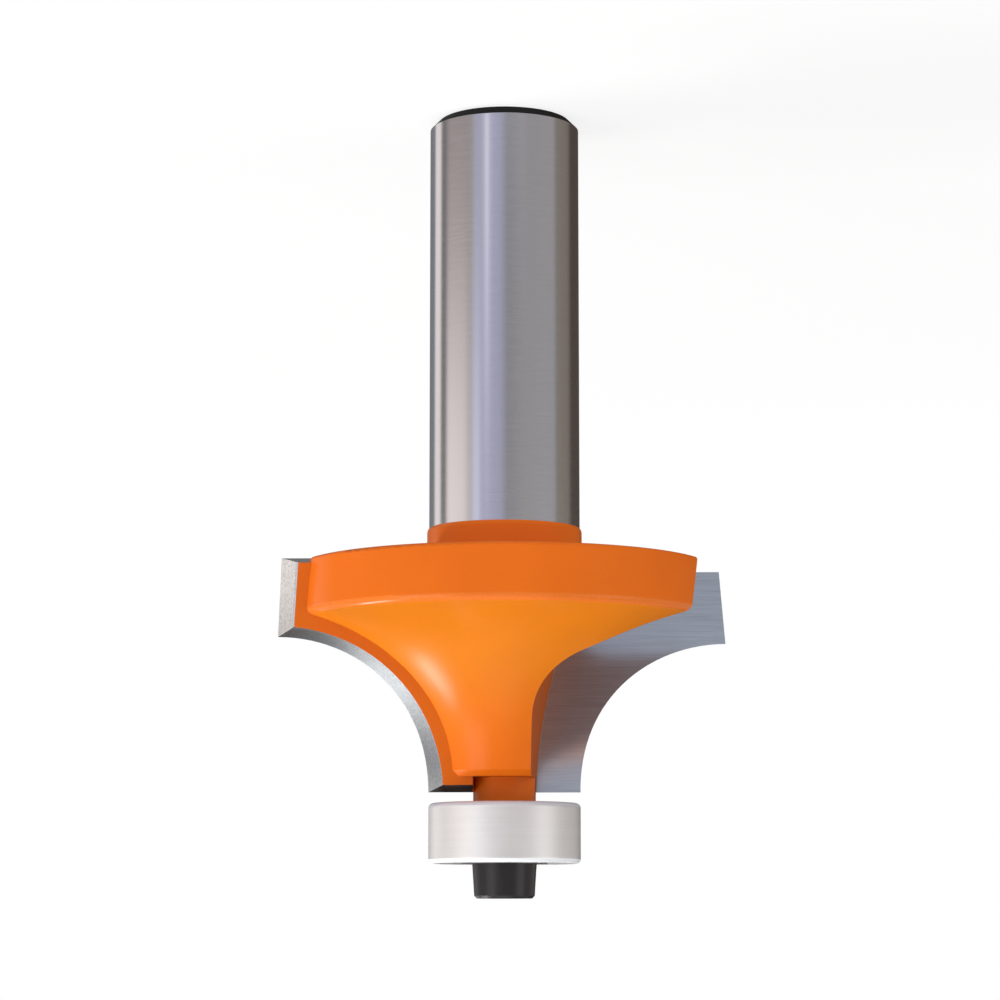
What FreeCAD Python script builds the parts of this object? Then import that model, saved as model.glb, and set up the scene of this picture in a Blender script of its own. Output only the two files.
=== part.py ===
import FreeCAD, Part
import math
import os

# Round-over router bit with a ball-bearing guide.
# Sizes are in millimetres. The bit stands on the flat end of its shank: the
# origin is the centre of that end, and +Z runs along the axis to the screw.

# Shank and collar
shank_radius = 6.35
shank_chamfer = 0.75
shank_length = 35.21
collar_step = 0.17
collar_height = 3.17
collar_round = 0.45

# Chip-limiting rim and the concave cone that runs from it to the neck. The
# cone's arc is struck from a centre outside and past the cutting arc's.
rim_radius = 17.4
rim_upper_round = 0.3
rim_lower_round = 0.65
cone_slope_angle = 20.4
cone_arc_extra = 3.85
cone_centre_out = 2.5
cone_centre_past = 1.65
cone_end_setback = 1.17
cone_end_chamfer = 0.5

# Cutting profile
cutting_radius = 19.05
round_over_radius = 12.7
cutting_length = 19.07
tooth_proud = 0.12

# Teeth: two plates, each leaned back and carrying a carbide tip
tooth_count = 2
shear_angle = 15.3
hook_angle = 2.3
face_setback = 0.39
plate_thickness = 2.39
tip_thickness = 2.1
braze_gap = 0.02
side_relief = 1.63
arc_relief = 1.42
relief_swell = 0.25
end_relief = 1.17
root_bite = 0.12
curve_points = 9

# Chip gullet, milled by a disc cutter that runs out beside the collar
gullet_mill_radius = 50.0
gullet_width = 11.75
gullet_floor_angle = 2.6
gullet_corner_round = 3.55
gullet_floor_depth = 2.59
gullet_floor_level = 1.38

# Neck, pilot and tapped hole
neck_radius = 2.62
neck_gap = 0.92
pilot_fit = 0.01
pilot_short = 0.4
pilot_chamfer = 0.3
thread_radius = 1.5
thread_clearance = 0.02
thread_length = 8.0
cut_spare = 0.5
hole_spare = 2.0
drill_point_angle = 118.0

# Guide bearing
bearing_radius = 6.35
bearing_bore_radius = 2.38
bearing_width = 4.98
bearing_corner = 0.4
bore_corner = 0.2
ball_radius = 1.19
ball_count = 7
race_conformity = 1.04
race_clearance = 0.02
outer_land_radius = 5.2
inner_land_radius = 3.62

# Bearing shields and their snap rings
shield_seat_radius = 5.55
shield_seat_depth = 0.65
shield_thickness = 0.22
shield_edge_gap = 0.1
shield_seat_gap = 0.02
snap_wire_width = 0.28
snap_wire_height = 0.26
snap_groove_depth = 0.08
snap_gap_angle = 16.0

# Ball cage, pressed from strip in two halves
cage_strip = 0.16
cage_width = 0.8
pocket_clearance = 0.06

# Retaining screw
head_radius = 2.69
head_end_radius = 2.52
head_height = 2.87
head_edge_chamfer = 0.22
key_across_flats = 2.5
key_depth = 1.5
screw_end_chamfer = 0.3

# Places that follow from the sizes above
collar_radius = shank_radius + collar_step
rim_top = shank_length + collar_height
tooth_top = rim_top - tooth_proud
tooth_end = tooth_top + cutting_length
cone_end = tooth_end - cone_end_setback
bearing_start = tooth_end + neck_gap
bearing_end = bearing_start + bearing_width
bearing_middle = bearing_start + bearing_width / 2
pilot_end = bearing_end - pilot_short
hole_bottom = bearing_end - thread_length - hole_spare
ball_pitch_radius = (bearing_radius + bearing_bore_radius) / 2
plate_root = neck_radius - root_bite

AXIS = FreeCAD.Vector(0, 0, 1)
ORIGIN = FreeCAD.Vector(0, 0, 0)


def half_plane(r, z):
    """A point of a turned part's section."""
    return FreeCAD.Vector(r, 0, z)


def corner_arc(before, corner, after, radius):
    """Start, middle and end of the arc that rounds one corner."""
    to_before = (before - corner).normalize()
    to_after = (after - corner).normalize()
    half_turn = to_before.getAngle(to_after) / 2
    tangent = radius / math.tan(half_turn)
    inward = (to_before + to_after).normalize()
    centre = corner + inward * (radius / math.sin(half_turn))
    return corner + to_before * tangent, centre - inward * radius, corner + to_after * tangent


def rounded_path(corners):
    """Edges through (point, radius) corners; the two ends stay sharp."""
    edges = []
    here = corners[0][0]
    for index in range(1, len(corners) - 1):
        point, radius = corners[index]
        if radius:
            start, middle, end = corner_arc(corners[index - 1][0], point, corners[index + 1][0], radius)
            edges.append(Part.makeLine(here, start))
            edges.append(Part.Arc(start, middle, end).toShape())
            here = end
        else:
            edges.append(Part.makeLine(here, point))
            here = point
    edges.append(Part.makeLine(here, corners[-1][0]))
    return edges


def turned(edges, centre=ORIGIN, turn=360):
    """The solid turned from a closed section."""
    face = Part.Face(Part.Wire(Part.__sortEdges__(edges)))
    return face.revolve(centre, AXIS, turn)


def turned_section(corners, turn=360):
    """The solid turned from (r, z, radius) corners, closed from the last to the first."""
    points = [(half_plane(r, z), radius) for r, z, radius in corners]
    return turned(rounded_path(points + points[:1]), turn=turn)


def collar_shoulder():
    """The rounded shoulder where the collar rises out of the shank."""
    centre_radius = collar_radius - collar_round
    height = math.sqrt(collar_round ** 2 - (shank_radius - centre_radius) ** 2)
    centre = half_plane(centre_radius, shank_length + height)
    start = half_plane(shank_radius, shank_length)
    end = half_plane(collar_radius, shank_length + height)
    middle = centre + (start + end - centre * 2).normalize() * collar_round
    return Part.Arc(start, middle, end).toShape(), start, end


def turned_blank():
    """Shank, collar, rim, concave cone, neck and pilot as one turned piece."""
    shoulder, shoulder_start, shoulder_end = collar_shoulder()
    arc_centre = half_plane(cutting_radius + cone_centre_out, tooth_end + cone_centre_past)
    arc_radius = round_over_radius + cone_arc_extra
    slope = math.radians(cone_slope_angle)
    arc_start = arc_centre + half_plane(-math.sin(slope), -math.cos(slope)) * arc_radius
    rim_end = arc_start.z - (rim_radius - arc_start.x) * math.tan(slope)
    chamfer_level = cone_end - cone_end_chamfer
    drop = arc_centre.z - chamfer_level
    chamfer_radius = arc_centre.x - math.sqrt(arc_radius ** 2 - drop ** 2)
    middle_angle = (math.asin(drop / arc_radius) + math.pi / 2 - slope) / 2
    arc_middle = arc_centre - half_plane(math.cos(middle_angle), math.sin(middle_angle)) * arc_radius
    arc_end = half_plane(chamfer_radius, chamfer_level)
    shank = [
        (half_plane(0, 0), 0),
        (half_plane(shank_radius - shank_chamfer, 0), 0),
        (half_plane(shank_radius, shank_chamfer), 0),
        (shoulder_start, 0),
    ]
    rim = [
        (shoulder_end, 0),
        (half_plane(collar_radius, rim_top), 0),
        (half_plane(rim_radius, rim_top), rim_upper_round),
        (half_plane(rim_radius, rim_end), rim_lower_round),
        (arc_start, 0),
    ]
    pilot_radius = bearing_bore_radius - pilot_fit
    neck = [
        (arc_end, 0),
        (half_plane(chamfer_radius - cone_end_chamfer, cone_end), 0),
        (half_plane(neck_radius, cone_end), 0),
        (half_plane(neck_radius, bearing_start), 0),
        (half_plane(pilot_radius, bearing_start), 0),
        (half_plane(pilot_radius, pilot_end - pilot_chamfer), 0),
        (half_plane(pilot_radius - pilot_chamfer, pilot_end), 0),
        (half_plane(0, pilot_end), 0),
        (half_plane(0, 0), 0),
    ]
    concave = Part.Arc(arc_start, arc_middle, arc_end).toShape()
    edges = rounded_path(shank) + [shoulder] + rounded_path(rim) + [concave] + rounded_path(neck)
    return turned(edges)


def tapped_hole():
    """The screw's hole, up to the cone that the drill leaves."""
    radius = thread_radius + thread_clearance
    point = radius / math.tan(math.radians(drill_point_angle / 2))
    return turned_section([
        (0, hole_bottom - point, 0),
        (radius, hole_bottom, 0),
        (radius, pilot_end + cut_spare, 0),
        (0, pilot_end + cut_spare, 0),
    ])


# Tooth frame: x outwards along the rake face, y along it towards the shank,
# z out of the face into the gullet.
hook = math.radians(hook_angle)
shear = math.radians(shear_angle)
outwards = FreeCAD.Vector(-math.cos(hook), -math.sin(hook), 0)
face_normal = FreeCAD.Vector(
    math.sin(hook) * math.cos(shear),
    -math.cos(hook) * math.cos(shear),
    -math.sin(shear),
)
towards_shank = face_normal.cross(outwards)
face_origin = FreeCAD.Vector(0, 0, tooth_end) - face_normal * face_setback


def in_tooth_frame(shape, index):
    """A shape drawn in the tooth frame, put on one of the teeth."""
    columns = (outwards, towards_shank, face_normal, face_origin)
    matrix = FreeCAD.Matrix(
        columns[0].x, columns[1].x, columns[2].x, columns[3].x,
        columns[0].y, columns[1].y, columns[2].y, columns[3].y,
        columns[0].z, columns[1].z, columns[2].z, columns[3].z,
        0, 0, 0, 1,
    )
    placed = shape.copy()
    placed.Placement = FreeCAD.Placement(matrix)
    placed.rotate(ORIGIN, AXIS, 360.0 * index / tooth_count)
    return placed


def on_face(radius, level):
    """Where the rake face meets a circle of this radius at this level."""
    along = (level - face_origin.z) / towards_shank.z
    foot = face_origin + towards_shank * along
    foot.z = 0
    across = foot.dot(outwards)
    out = -across + math.sqrt(across ** 2 - foot.dot(foot) + radius ** 2)
    return FreeCAD.Vector(out, along, 0)


def curve(points):
    """A smooth edge through points."""
    spline = Part.BSplineCurve()
    spline.interpolate(points)
    return spline.toShape()


def cutting_outline():
    """The tooth's outline on the rake face, as edges in order from the shank side."""
    top = on_face(cutting_radius, tooth_top)
    corner = on_face(cutting_radius, tooth_end - round_over_radius)
    arc = []
    for step in range(curve_points):
        turn = math.pi / 2 * (1 - step / (curve_points - 1))
        radius = cutting_radius - round_over_radius * math.cos(turn)
        arc.append(on_face(radius, tooth_end - round_over_radius * math.sin(turn)))
    root_end = FreeCAD.Vector(plate_root, arc[-1].y, 0)
    root_top = FreeCAD.Vector(plate_root, top.y, 0)
    return [
        Part.makeLine(top, corner),
        curve(arc),
        Part.makeLine(arc[-1], root_end),
        Part.makeLine(root_end, root_top),
        Part.makeLine(root_top, top),
    ]


def back_outline():
    """The same outline on the back of the plate, drawn in by the relief, most of all half-way round."""
    depth = FreeCAD.Vector(0, 0, -plate_thickness)
    centre = on_face(cutting_radius, tooth_end)
    inner = on_face(cutting_radius - round_over_radius, tooth_end)
    corner = on_face(cutting_radius, tooth_end - round_over_radius)
    top = on_face(cutting_radius, tooth_top)
    across = centre.x - inner.x + arc_relief
    along = corner.y - centre.y + arc_relief
    side = corner.x - side_relief
    end = centre.y + end_relief
    first = math.acos((centre.x - side) / across)
    last = math.asin((end - centre.y) / along)
    arc = []
    for step in range(curve_points):
        share = step / (curve_points - 1)
        turn = first + (last - first) * share
        swell = relief_swell * math.sin(math.pi * share)
        x = centre.x - (across + swell) * math.cos(turn)
        y = centre.y + (along + swell) * math.sin(turn)
        arc.append(FreeCAD.Vector(x, y, 0) + depth)
    side_top = FreeCAD.Vector(top.x - side_relief, top.y, 0) + depth
    root_end = FreeCAD.Vector(plate_root, end, 0) + depth
    root_top = FreeCAD.Vector(plate_root, top.y, 0) + depth
    return [
        Part.makeLine(side_top, arc[0]),
        curve(arc),
        Part.makeLine(arc[-1], root_end),
        Part.makeLine(root_end, root_top),
        Part.makeLine(root_top, side_top),
    ]


def tooth_plate():
    """One whole tooth, tip and steel together, with its relief ground on."""
    front = cutting_outline()
    back = back_outline()
    return Part.makeLoft([Part.Wire(front), Part.Wire(back)], True, True)


def mill_centre():
    """The disc cutter's centre on the rake face."""
    out = gullet_floor_depth + gullet_mill_radius
    return FreeCAD.Vector(out, on_face(cutting_radius, tooth_end + gullet_floor_level).y, 0)


def gullet_and_seat():
    """What the disc cutter takes away: the gullet, and the tip's seat behind it."""
    centre = mill_centre()
    slope = math.tan(math.radians(gullet_floor_angle))
    floor_front = gullet_mill_radius + gullet_width * slope

    def section(radius, height):
        return centre + FreeCAD.Vector(-radius, 0, height)

    edges = rounded_path([
        (section(0, -tip_thickness), 0),
        (section(gullet_mill_radius, -tip_thickness), 0),
        (section(gullet_mill_radius, 0), 0),
        (section(floor_front, gullet_width), gullet_corner_round),
        (section(0, gullet_width), 0),
        (section(0, -tip_thickness), 0),
    ])
    return turned(edges, centre)


def carbide_tip():
    """The carbide plate that fills the seat, flush with the gullet's floor."""
    seat_height = tip_thickness - braze_gap
    start = mill_centre() - FreeCAD.Vector(0, 0, seat_height)
    reach = Part.makeCylinder(gullet_mill_radius - braze_gap, seat_height, start, AXIS)
    return tooth_plate().common(reach)


def cutter_body():
    """Shank, rim, cone, tooth plates, neck and pilot in one piece of steel."""
    body = turned_blank()
    plate = tooth_plate()
    gullet = gullet_and_seat()
    plates = [in_tooth_frame(plate, index) for index in range(tooth_count)]
    gullets = [in_tooth_frame(gullet, index) for index in range(tooth_count)]
    body = body.fuse(plates).removeSplitter()
    return body.cut(gullets + [tapped_hole()])


def race(centre_radius):
    """The torus that both raceways are ground to."""
    groove = ball_radius * race_conformity
    return Part.makeTorus(centre_radius, groove, FreeCAD.Vector(0, 0, bearing_middle), AXIS)


def race_centre(side):
    """Where a raceway's groove is centred: side is 1 for the outer ring, -1 for the inner."""
    groove = ball_radius * race_conformity
    return ball_pitch_radius + side * (ball_radius + race_clearance - groove)


def bearing_outer_ring():
    """Outer ring, with its raceway, two shield seats and two snap-ring grooves."""
    ring = turned_section([
        (outer_land_radius, bearing_start + shield_seat_depth, 0),
        (shield_seat_radius, bearing_start + shield_seat_depth, 0),
        (shield_seat_radius, bearing_start, 0),
        (bearing_radius, bearing_start, bearing_corner),
        (bearing_radius, bearing_end, bearing_corner),
        (shield_seat_radius, bearing_end, 0),
        (shield_seat_radius, bearing_end - shield_seat_depth, 0),
        (outer_land_radius, bearing_end - shield_seat_depth, 0),
    ])
    grooves = [turned_section(snap_ring_corners(side, shield_seat_gap)) for side in (-1, 1)]
    return ring.cut([race(race_centre(1))] + grooves)


def bearing_inner_ring():
    """Inner ring, clamped on the pilot between the neck and the screw's head."""
    ring = turned_section([
        (inner_land_radius, bearing_middle, 0),
        (inner_land_radius, bearing_start, 0),
        (bearing_bore_radius, bearing_start, bore_corner),
        (bearing_bore_radius, bearing_end, bore_corner),
        (inner_land_radius, bearing_end, 0),
    ])
    return ring.cut(race(race_centre(-1)))


def ball_centre(index):
    """Where one ball stands in the bearing."""
    turn = 2 * math.pi * index / ball_count
    x = ball_pitch_radius * math.cos(turn)
    return FreeCAD.Vector(x, ball_pitch_radius * math.sin(turn), bearing_middle)


def bearing_ball(index):
    """One of the balls."""
    return Part.makeSphere(ball_radius, ball_centre(index))


def ball_cage_half(side):
    """Half of the cage: a flat strip bulged over each ball. side is 1 or -1 along Z."""
    inner = ball_pitch_radius - cage_width / 2
    outer = ball_pitch_radius + cage_width / 2
    pocket = ball_radius + pocket_clearance
    height = pocket + cage_strip
    low = bearing_middle if side > 0 else bearing_middle - height
    band = Part.makeCylinder(outer, height, FreeCAD.Vector(0, 0, low), AXIS)
    band = band.cut(Part.makeCylinder(inner, height, FreeCAD.Vector(0, 0, low), AXIS))
    strip_low = bearing_middle if side > 0 else bearing_middle - cage_strip
    strip = Part.makeCylinder(outer, cage_strip, FreeCAD.Vector(0, 0, strip_low), AXIS)
    bulges = [Part.makeSphere(height, ball_centre(index)) for index in range(ball_count)]
    pockets = [Part.makeSphere(pocket, ball_centre(index)) for index in range(ball_count)]
    return strip.fuse(bulges).common(band).cut(pockets)


def shield_level(side):
    """The level of a shield's inner face. side is -1 at the cutter, 1 at the screw."""
    return bearing_middle + side * (bearing_width / 2 - shield_seat_depth)


def bearing_shield(side):
    """A thin pressed washer in the outer ring, clear of the inner ring."""
    level = shield_level(side)
    face = level + side * shield_thickness
    return turned_section([
        (inner_land_radius + shield_edge_gap, level, 0),
        (inner_land_radius + shield_edge_gap, face, 0),
        (shield_seat_radius - shield_seat_gap, face, 0),
        (shield_seat_radius - shield_seat_gap, level, 0),
    ])


def snap_ring_corners(side, gap):
    """Section of the flat wire that holds a shield; gap widens it to the groove it springs into."""
    outer = shield_seat_radius + snap_groove_depth
    face = shield_level(side) + side * (shield_thickness - gap)
    end = face + side * (snap_wire_height + 2 * gap)
    return [
        (outer - snap_wire_width, face, 0),
        (outer - snap_wire_width, end, 0),
        (outer + gap, end, 0),
        (outer + gap, face, 0),
    ]


def shield_snap_ring(side):
    """An open ring of spring wire."""
    ring = turned_section(snap_ring_corners(side, 0), 360 - snap_gap_angle)
    ring.rotate(ORIGIN, AXIS, snap_gap_angle / 2)
    return ring


def key_socket():
    """The screw's hexagon socket, with the cone that its drill leaves."""
    top = bearing_end + head_height
    corner = key_across_flats / math.sqrt(3)
    sides = 6
    points = []
    for index in range(sides + 1):
        turn = 2 * math.pi * index / sides
        x = corner * math.cos(turn)
        points.append(FreeCAD.Vector(x, corner * math.sin(turn), top - key_depth))
    hexagon = Part.Face(Part.makePolygon(points)).extrude(AXIS * (key_depth + cut_spare))
    flat = key_across_flats / 2
    point = flat / math.tan(math.radians(drill_point_angle / 2))
    start = FreeCAD.Vector(0, 0, top - key_depth - point)
    return hexagon.fuse(Part.makeCone(0, flat, point, start, AXIS))


def retaining_screw():
    """Tapered socket head over the bearing and a thread into the pilot."""
    top = bearing_end + head_height
    screw = turned_section([
        (0, bearing_end - thread_length, 0),
        (thread_radius - screw_end_chamfer, bearing_end - thread_length, 0),
        (thread_radius, bearing_end - thread_length + screw_end_chamfer, 0),
        (thread_radius, bearing_end, 0),
        (head_radius, bearing_end, 0),
        (head_end_radius, top - head_edge_chamfer, 0),
        (head_end_radius - head_edge_chamfer, top, 0),
        (0, top, 0),
    ])
    return screw.cut(key_socket())


def all_parts():
    """Every piece, by name."""
    parts = {"cutter_body": cutter_body()}
    tip = carbide_tip()
    for index in range(tooth_count):
        parts["carbide_tip_%d" % (index + 1)] = in_tooth_frame(tip, index)
    parts["bearing_outer_ring"] = bearing_outer_ring()
    parts["bearing_inner_ring"] = bearing_inner_ring()
    for index in range(ball_count):
        parts["bearing_ball_%d" % (index + 1)] = bearing_ball(index)
    for name, side in (("lower", -1), ("upper", 1)):
        parts["ball_cage_" + name] = ball_cage_half(side)
        parts["bearing_shield_" + name] = bearing_shield(side)
        parts["shield_snap_ring_" + name] = shield_snap_ring(side)
    parts["retaining_screw"] = retaining_screw()
    return parts


os.makedirs("parts", exist_ok=True)
for part_name, part_shape in all_parts().items():
    solid = part_shape.Solids[0]
    print(part_name, len(part_shape.Solids), part_shape.isValid(), round(solid.Volume, 4))
    part_shape.exportStep("parts/%s.step" % part_name)
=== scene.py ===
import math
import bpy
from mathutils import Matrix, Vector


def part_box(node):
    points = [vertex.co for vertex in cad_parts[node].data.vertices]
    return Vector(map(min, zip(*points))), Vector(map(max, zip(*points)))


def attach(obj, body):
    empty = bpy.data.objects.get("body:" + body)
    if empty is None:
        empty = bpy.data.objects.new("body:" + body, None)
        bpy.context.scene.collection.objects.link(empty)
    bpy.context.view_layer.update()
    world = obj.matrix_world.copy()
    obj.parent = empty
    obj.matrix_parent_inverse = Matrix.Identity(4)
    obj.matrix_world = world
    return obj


bl_info = {
    "name": "Round-over Bit Finishes",
    "version": (1, 0, 0),
    "blender": (4, 5, 0),
    "location": "3D View > Sidebar > Router Bit",
    "description": "Finishes, brazing beads and studio for a round-over router bit",
    "category": "Object",
}

import bmesh
import bpy
from bpy.props import FloatProperty, FloatVectorProperty, IntProperty, PointerProperty
from mathutils import Matrix, Vector

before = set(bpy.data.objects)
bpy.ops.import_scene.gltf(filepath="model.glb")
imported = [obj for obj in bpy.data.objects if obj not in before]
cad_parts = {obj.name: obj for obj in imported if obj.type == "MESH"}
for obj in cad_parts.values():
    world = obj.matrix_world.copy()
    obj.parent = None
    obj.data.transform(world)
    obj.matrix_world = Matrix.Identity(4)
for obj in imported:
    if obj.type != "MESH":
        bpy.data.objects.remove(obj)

MM = 0.001
# Millimetres by which a mask reaches past the face that it covers
SKIN = 0.02
BALLS = [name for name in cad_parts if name.startswith("bearing_ball_")]
CARBIDE_TIPS = [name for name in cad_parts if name.startswith("carbide_tip_")]


# Shader arithmetic


class Value:
    """A number, colour or vector in a shader. Arithmetic on a number adds Math nodes."""

    def __init__(self, shader, socket):
        self.shader = shader
        self.socket = socket

    def maths(self, operation, *others):
        return self.shader.add("ShaderNodeMath", {"operation": operation}, [self, *others])

    def __add__(self, other):
        return self.maths("ADD", other)

    __radd__ = __add__

    def __sub__(self, other):
        return self.maths("SUBTRACT", other)

    def __rsub__(self, other):
        return self.shader.add("ShaderNodeMath", {"operation": "SUBTRACT"}, [other, self])

    def __mul__(self, other):
        return self.maths("MULTIPLY", other)

    __rmul__ = __mul__

    def __truediv__(self, other):
        return self.maths("DIVIDE", other)

    def __neg__(self):
        return self.maths("MULTIPLY", -1.0)

    def __abs__(self):
        return self.maths("ABSOLUTE")

    def __gt__(self, other):
        return self.maths("GREATER_THAN", other)

    def __lt__(self, other):
        return self.maths("LESS_THAN", other)

    def root(self):
        return self.maths("SQRT")

    def rises(self, low, high):
        """0 below low, 1 above high and a smooth step in between."""
        settings = {"interpolation_type": "SMOOTHSTEP", "clamp": True}
        return self.shader.add("ShaderNodeMapRange", settings, [self, low, high, 0.0, 1.0])

    def between(self, low, high, soft):
        """1 from low to high, with soft edges that lie outside."""
        return self.rises(low - soft, low) * (1 - self.rises(high, high + soft))


class Shader:
    """A node tree that is filled by calls."""

    def __init__(self, tree):
        self.tree = tree
        self.tree.nodes.clear()

    def add(self, kind, settings=None, inputs=(), output=0):
        """Adds a node: its settings first, then the values or links of its sockets."""
        node = self.tree.nodes.new(kind)
        for name, value in (settings or {}).items():
            if name == "stops":
                self.set_stops(node.color_ramp, value)
            else:
                setattr(node, name, value)
        pairs = inputs.items() if isinstance(inputs, dict) else enumerate(inputs)
        for key, value in pairs:
            if isinstance(value, Value):
                self.tree.links.new(value.socket, node.inputs[key])
            else:
                node.inputs[key].default_value = value
        return Value(self, node.outputs[output]) if node.outputs else None

    def set_stops(self, ramp, stops):
        """Gives a colour ramp its (position, grey or colour) stops."""
        while len(ramp.elements) < len(stops):
            ramp.elements.new(0.5)
        for element, (position, colour) in zip(ramp.elements, stops):
            element.position = position
            element.color = as_colour(colour)

    def millimetres(self):
        """The place on the object, in millimetres."""
        place = self.add("ShaderNodeTexCoord", output="Object")
        return self.add("ShaderNodeVectorMath", {"operation": "SCALE"}, {0: place, "Scale": 1 / MM})

    def split(self, vector):
        """The three parts of a vector."""
        node = self.tree.nodes.new("ShaderNodeSeparateXYZ")
        self.tree.links.new(vector.socket, node.inputs[0])
        return [Value(self, socket) for socket in node.outputs]

    def along(self, vector, direction):
        """How far a vector reaches along a direction."""
        settings = {"operation": "DOT_PRODUCT"}
        return self.add("ShaderNodeVectorMath", settings, [vector, direction], "Value")

    def stretched(self, vector, scale):
        """Coordinates for a pattern that has another scale on each axis."""
        return self.add("ShaderNodeVectorMath", {"operation": "MULTIPLY"}, [vector, scale])

    def joined(self, x, y, z):
        return self.add("ShaderNodeCombineXYZ", None, [x, y, z])

    def noise(self, vector, scale, detail=2.0, roughness=0.5):
        """Fractal noise around 0.5."""
        inputs = {"Vector": vector, "Scale": scale, "Detail": detail, "Roughness": roughness}
        return self.add("ShaderNodeTexNoise", None, inputs)

    def blend(self, factor, first, second):
        """A colour from first at 0 to second at 1."""
        colours = [c if isinstance(c, Value) else as_colour(c) for c in (first, second)]
        inputs = {0: factor, 6: colours[0], 7: colours[1]}
        return self.add("ShaderNodeMix", {"data_type": "RGBA"}, inputs, 2)

    def tinted(self, colour, amount):
        """A colour with its brightness multiplied by an amount that varies."""
        grey = self.joined(amount, amount, amount)
        inputs = {0: 1.0, 6: colour if isinstance(colour, Value) else as_colour(colour), 7: grey}
        return self.add("ShaderNodeMix", {"data_type": "RGBA", "blend_type": "MULTIPLY"}, inputs, 2)

    def bump(self, height, strength, distance):
        """A normal from a height pattern. Distance is in metres."""
        inputs = {"Height": height, "Strength": strength, "Distance": distance}
        return self.add("ShaderNodeBump", None, inputs)

    def surface(self, **inputs):
        """Ends a material in a Principled shader. Names have _ for the spaces of its sockets."""
        sockets = {}
        for name, value in inputs.items():
            is_colour = name == "Base_Color" and not isinstance(value, Value)
            sockets[name.replace("_", " ")] = as_colour(value) if is_colour else value
        shader = self.add("ShaderNodeBsdfPrincipled", None, sockets)
        self.add("ShaderNodeOutputMaterial", None, {"Surface": shader})


def as_colour(value):
    """A grey or an RGB colour as the four numbers that a socket takes."""
    if isinstance(value, (int, float)):
        return (value, value, value, 1.0)
    return (*value[:3], 1.0)


def length(across, up):
    """The length of the line that goes so far across and so far up."""
    return (across * across + up * up).root()


def new_material(name):
    material = bpy.data.materials.new(name)
    material.use_nodes = True
    return material, Shader(material.node_tree)


def finish_node(node, material):
    """Gives a CAD node its material."""
    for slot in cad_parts[node].material_slots:
        slot.material = material


# Settings


class ToothSettings(bpy.types.PropertyGroup):
    """How the teeth lie, for finishes that follow their faces."""

    shear: FloatProperty(
        name="Shear", description="Lean of the rake face along the axis",
        default=math.radians(15.3), subtype="ANGLE")
    hook: FloatProperty(
        name="Hook", description="Lean of the rake face across the axis",
        default=math.radians(2.3), subtype="ANGLE")
    setback: FloatProperty(
        name="Setback", description="Distance of the rake face behind the axis",
        default=0.39 * MM, unit="LENGTH")
    plate: FloatProperty(
        name="Plate", description="Thickness of a tooth, carbide and steel together",
        default=2.39 * MM, unit="LENGTH")
    round_over: FloatProperty(
        name="Round-over radius", description="Radius that the bit cuts",
        default=12.7 * MM, unit="LENGTH")
    relief_width: FloatProperty(
        name="Relief width", description="How far the relief draws the outline in, half-way round",
        default=1.67 * MM, unit="LENGTH")
    gullet_radius: FloatProperty(
        name="Gullet cutter", description="Radius of the disc that mills the gullet",
        default=50 * MM, unit="LENGTH")
    gullet_depth: FloatProperty(
        name="Gullet depth", description="Distance of the gullet's floor from the axis",
        default=2.59 * MM, unit="LENGTH")
    gullet_level: FloatProperty(
        name="Gullet level", description="How far past the tooth's end the gullet is deepest",
        default=1.38 * MM, unit="LENGTH")
    gullet_width: FloatProperty(
        name="Gullet width", description="Width of the gullet out of the rake face",
        default=11.75 * MM, unit="LENGTH")
    gullet_slope: FloatProperty(
        name="Gullet slope", description="Lean of the gullet's floor",
        default=math.radians(2.6), subtype="ANGLE")
    gullet_round: FloatProperty(
        name="Gullet corner", description="Round between the gullet's floor and its far side",
        default=3.55 * MM, unit="LENGTH")
    bead: FloatProperty(
        name="Brazing bead", description="Leg of the bead between tip and gullet wall",
        default=0.055 * MM, unit="LENGTH")


class BodySettings(bpy.types.PropertyGroup):
    """Where the finishes of the cutter's body change."""

    shank_radius: FloatProperty(
        name="Shank radius", description="Radius of the ground shank",
        default=6.35 * MM, unit="LENGTH")
    shank_length: FloatProperty(
        name="Shank length", description="From the shank's end to the collar",
        default=35.21 * MM, unit="LENGTH")
    # Painted shade: the near-black band on the shank's end is shade painted into its colour.
    end_shade_height: FloatProperty(
        name="Scale height", description="How far the hardening scale reaches up from the shank's end",
        default=0.72 * MM, unit="LENGTH")
    rim_radius: FloatProperty(
        name="Rim radius", description="Radius of the chip-limiting rim",
        default=17.4 * MM, unit="LENGTH")
    edge_start: FloatProperty(
        name="Rim edge", description="Height where the rim starts to round over to the cone",
        default=42.45 * MM, unit="LENGTH")
    cone_start: FloatProperty(
        name="Cone start", description="Height where the rim ends and the cone starts",
        default=43.0 * MM, unit="LENGTH")
    neck_radius: FloatProperty(
        name="Neck radius", description="Radius of the neck under the bearing",
        default=2.62 * MM, unit="LENGTH")


class PaintSettings(bpy.types.PropertyGroup):
    """The baked coat on the cutter's body."""

    colour: FloatVectorProperty(
        name="Coat", description="Colour of the coat",
        default=(0.80, 0.155, 0.008), subtype="COLOR", min=0, max=1)
    # Painted light: the yellower tint on the cone stands in for the brighter light that falls on it.
    lit_cone_colour: FloatVectorProperty(
        name="Coat on the cone", description="Colour of the coat where it is thickest, on the cone",
        default=(0.74, 0.20, 0.008), subtype="COLOR", min=0, max=1)
    # A painted highlight: the paler tint on the rim's edge stands in for the light that the edge catches.
    edge_highlight_colour: FloatVectorProperty(
        name="Coat on the edge", description="Colour of the coat where it draws thin over the rim's edge",
        default=(0.84, 0.38, 0.14), subtype="COLOR", min=0, max=1)
    roughness: FloatProperty(
        name="Roughness", description="Roughness of the coat", default=0.29, min=0, max=1)
    specular: FloatProperty(
        name="Sheen", description="Specular level of the coat", default=0.13, min=0, max=1)


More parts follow.
